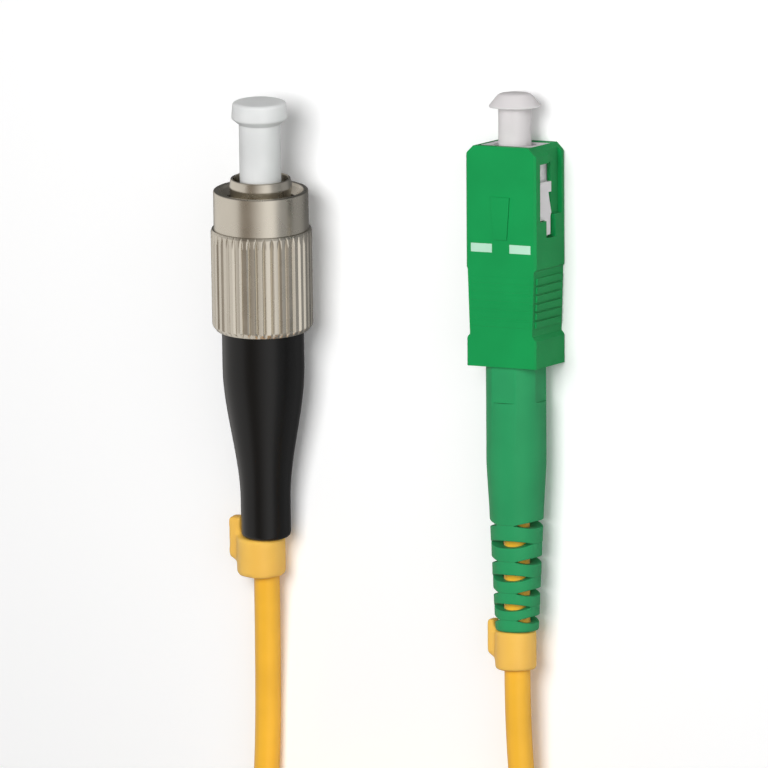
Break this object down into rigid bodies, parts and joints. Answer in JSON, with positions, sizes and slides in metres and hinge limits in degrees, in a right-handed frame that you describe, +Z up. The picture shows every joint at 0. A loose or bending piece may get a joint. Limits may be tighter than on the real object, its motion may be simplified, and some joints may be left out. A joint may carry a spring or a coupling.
{
  "type": "fibre optic patch cord",
  "caption": "Simplex fibre optic cable with a round screw-on connector and a square push-pull connector, both capped, and its spare length coiled.",
  "frame": {"origin": "on the floor, under the middle of the two connectors with their caps, boots and clips", "axes": "+Y along the connectors towards their noses, +Z up, +X towards the square connector"},
  "size_m": [0.0423, 0.1244, 0.0129],
  "materials": {
    "nickel": "bright nickel plating on brass, turned and knurled",
    "bare_steel": "drawn or turned steel",
    "zirconia": "polished white zirconia",
    "black_boot": "satin moulded elastomer",
    "yellow_jacket": "extruded jacket, soft sheen",
    "orange_clip": "moulded marker clip",
    "clear_cap": "milky translucent moulding",
    "pale_cap": "milky translucent moulding",
    "green_housing": "moulded, satin",
    "green_boot": "satin moulded elastomer",
    "white_frame": "moulded, satin",
    "pale_mark": "pad-printed or inlaid mark",
    "yarn": "loose strength yarn",
    "buffer": "tight buffer",
    "tie": "hook-and-loop tape"
  },
  "bodies": {
    "root": {"fc_plug_body": "nickel", "fc_spring": "bare_steel", "fc_rear_body": "nickel", "fc_aramid_yarn": "yarn", "fc_crimp_sleeve": "bare_steel", "fc_boot": "black_boot", "fc_marker_clip": "orange_clip", "fc_cable_end": "yellow_jacket", "sc_plug_frame": "white_frame", "sc_spring": "bare_steel", "sc_stop_ring": "nickel", "sc_aramid_yarn": "yarn", "sc_crimp_sleeve": "bare_steel", "sc_boot": "green_boot", "sc_marker_clip": "orange_clip", "sc_cable_end": "yellow_jacket", "cable_fc_run": "yellow_jacket", "cable_coil": "yellow_jacket", "cable_sc_run": "yellow_jacket", "coil_tie": "tie"},
    "fc_nut": {"fc_coupling_nut": "nickel"},
    "fc_ferrule_unit": {"fc_ferrule": "zirconia", "fc_ferrule_flange": "nickel", "fc_fibre_buffer": "buffer"},
    "fc_cap": {"fc_dust_cap": "clear_cap"},
    "sc_housing": {"sc_outer_housing": "green_housing", "sc_insertion_marks": "pale_mark"},
    "sc_ferrule_unit": {"sc_ferrule": "zirconia", "sc_ferrule_flange": "nickel", "sc_fibre_buffer": "buffer"},
    "sc_cap": {"sc_dust_cap": "pale_cap"}
  },
  "joints": [
    {"name": "fc_nut_spin", "type": "hinge", "parent": "root", "child": "fc_nut", "pos_m": [-0.01483, 0.01405, 0.00673], "axis": [0.0469, 0.9936, 0.1029], "continuous": true},
    {"name": "fc_ferrule_float", "type": "slide", "parent": "root", "child": "fc_ferrule_unit", "axis": [0.0469, 0.9936, 0.1029], "range_m": [-0.001, 0], "stiffness_N_per_m": 3000, "springref_m": 0.0027, "deforming": ["fc_spring"]},
    {"name": "fc_cap_pull", "type": "slide", "parent": "root", "child": "fc_cap", "axis": [0.0469, 0.9936, 0.1029], "range_m": [0, 0.012]},
    {"name": "sc_housing_slide", "type": "slide", "parent": "root", "child": "sc_housing", "axis": [0, 1, 0], "range_m": [-0.0015, 0]},
    {"name": "sc_ferrule_float", "type": "slide", "parent": "root", "child": "sc_ferrule_unit", "axis": [0, 1, 0], "range_m": [-0.001, 0], "stiffness_N_per_m": 3000, "springref_m": 0.0027, "deforming": ["sc_spring"]},
    {"name": "sc_cap_pull", "type": "slide", "parent": "root", "child": "sc_cap", "axis": [0, 1, 0], "range_m": [0, 0.012]}
  ]
}
